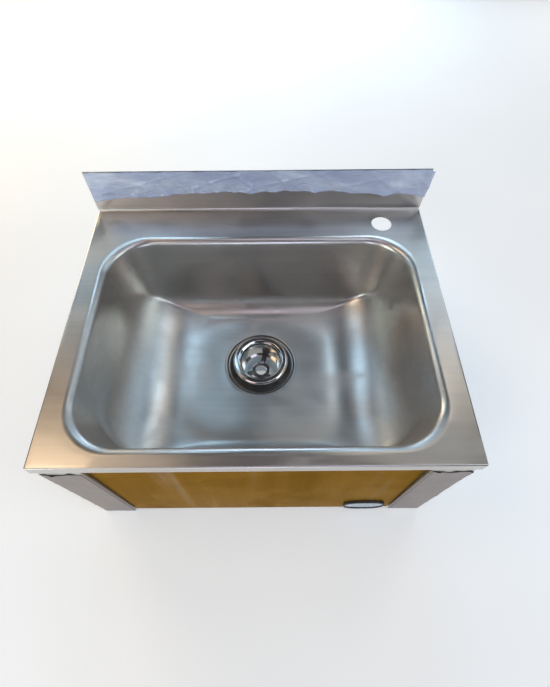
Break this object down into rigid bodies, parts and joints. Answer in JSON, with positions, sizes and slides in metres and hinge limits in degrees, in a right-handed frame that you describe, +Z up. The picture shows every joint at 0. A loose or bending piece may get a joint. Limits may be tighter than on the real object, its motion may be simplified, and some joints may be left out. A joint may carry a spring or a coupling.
{
  "type": "hand wash basin",
  "caption": "Hand wash basin of brushed steel: pressed bowl in a deck with a rear upstand, on an open box body whose front panel the knee pushes to open a self-closing valve.",
  "frame": {"origin": "middle of the base, on the plane of the side panels' bottom rims", "axes": "+X to the user's right, +Y towards the wall, +Z up"},
  "size_m": [0.5, 0.4, 0.325],
  "materials": {
    "brushed_steel": "satin, brushed along the width",
    "chrome": "polished",
    "zinc_steel": "dull zinc plate",
    "brass": "machined",
    "rubber": "smooth black",
    "film": "thin wrinkled protective film, pale lavender",
    "white_plastic": "moulded",
    "nylon": "moulded",
    "badge": "domed resin, plain blue with a black edge",
    "black_plastic": "moulded"
  },
  "bodies": {
    "body": {"basin_top": "brushed_steel", "bottom_rail": "zinc_steel", "cold_check_valve": "brass", "front_rail": "brushed_steel", "hot_check_valve": "brass", "left_bottom_rail_nut": "zinc_steel", "left_hinge_nut": "zinc_steel", "left_hinge_pin": "zinc_steel", "left_panel_film": "film", "left_side_panel": "brushed_steel", "left_top_rail_nut": "zinc_steel", "left_valve_rail_nut_high": "zinc_steel", "left_valve_rail_nut_low": "zinc_steel", "lower_seal": "rubber", "mixer_body": "chrome", "right_bottom_rail_nut": "zinc_steel", "right_hinge_nut": "zinc_steel", "right_hinge_pin": "zinc_steel", "right_panel_film": "film", "right_side_panel": "brushed_steel", "right_top_rail_nut": "zinc_steel", "right_valve_rail_nut_high": "zinc_steel", "right_valve_rail_nut_low": "zinc_steel", "splash_film": "film", "top_rail": "zinc_steel", "union_nut": "brass", "valve_body": "chrome", "valve_locknut": "brass", "valve_rail": "zinc_steel", "valve_spring": "zinc_steel", "waste_backnut": "zinc_steel", "waste_flange": "chrome", "waste_seal": "rubber", "waste_tail": "white_plastic"},
    "knee_panel": {"knee_panel": "brushed_steel", "striker_block": "black_plastic", "push_badge": "badge", "left_stop_buffer": "rubber", "right_stop_buffer": "rubber", "left_hinge_bush": "nylon", "right_hinge_bush": "nylon"},
    "button": {"valve_button": "chrome", "button_seal": "rubber"},
    "mixer_knob": {"temperature_knob": "black_plastic", "mixer_spindle": "brass"}
  },
  "joints": [
    {"name": "knee_hinge", "type": "hinge", "parent": "body", "child": "knee_panel", "pos_m": [0, -0.1875, 0.217], "axis": [1, 0, 0], "range_deg": [0, 3.2]},
    {"name": "button_slide", "type": "slide", "parent": "body", "child": "button", "axis": [0, 1, 0], "range_m": [0, 0.0083], "stiffness_N_per_m": 900, "springref_m": -0.01, "deforming": ["valve_spring"]},
    {"name": "mixer_turn", "type": "hinge", "parent": "body", "child": "mixer_knob", "pos_m": [0, -0.058, 0.07], "axis": [0, 0, 1], "range_deg": [-60, 60]}
  ],
  "couplings": [
    {"joint": "button_slide", "follows": "knee_hinge", "m_per_rad": 0.147}
  ]
}
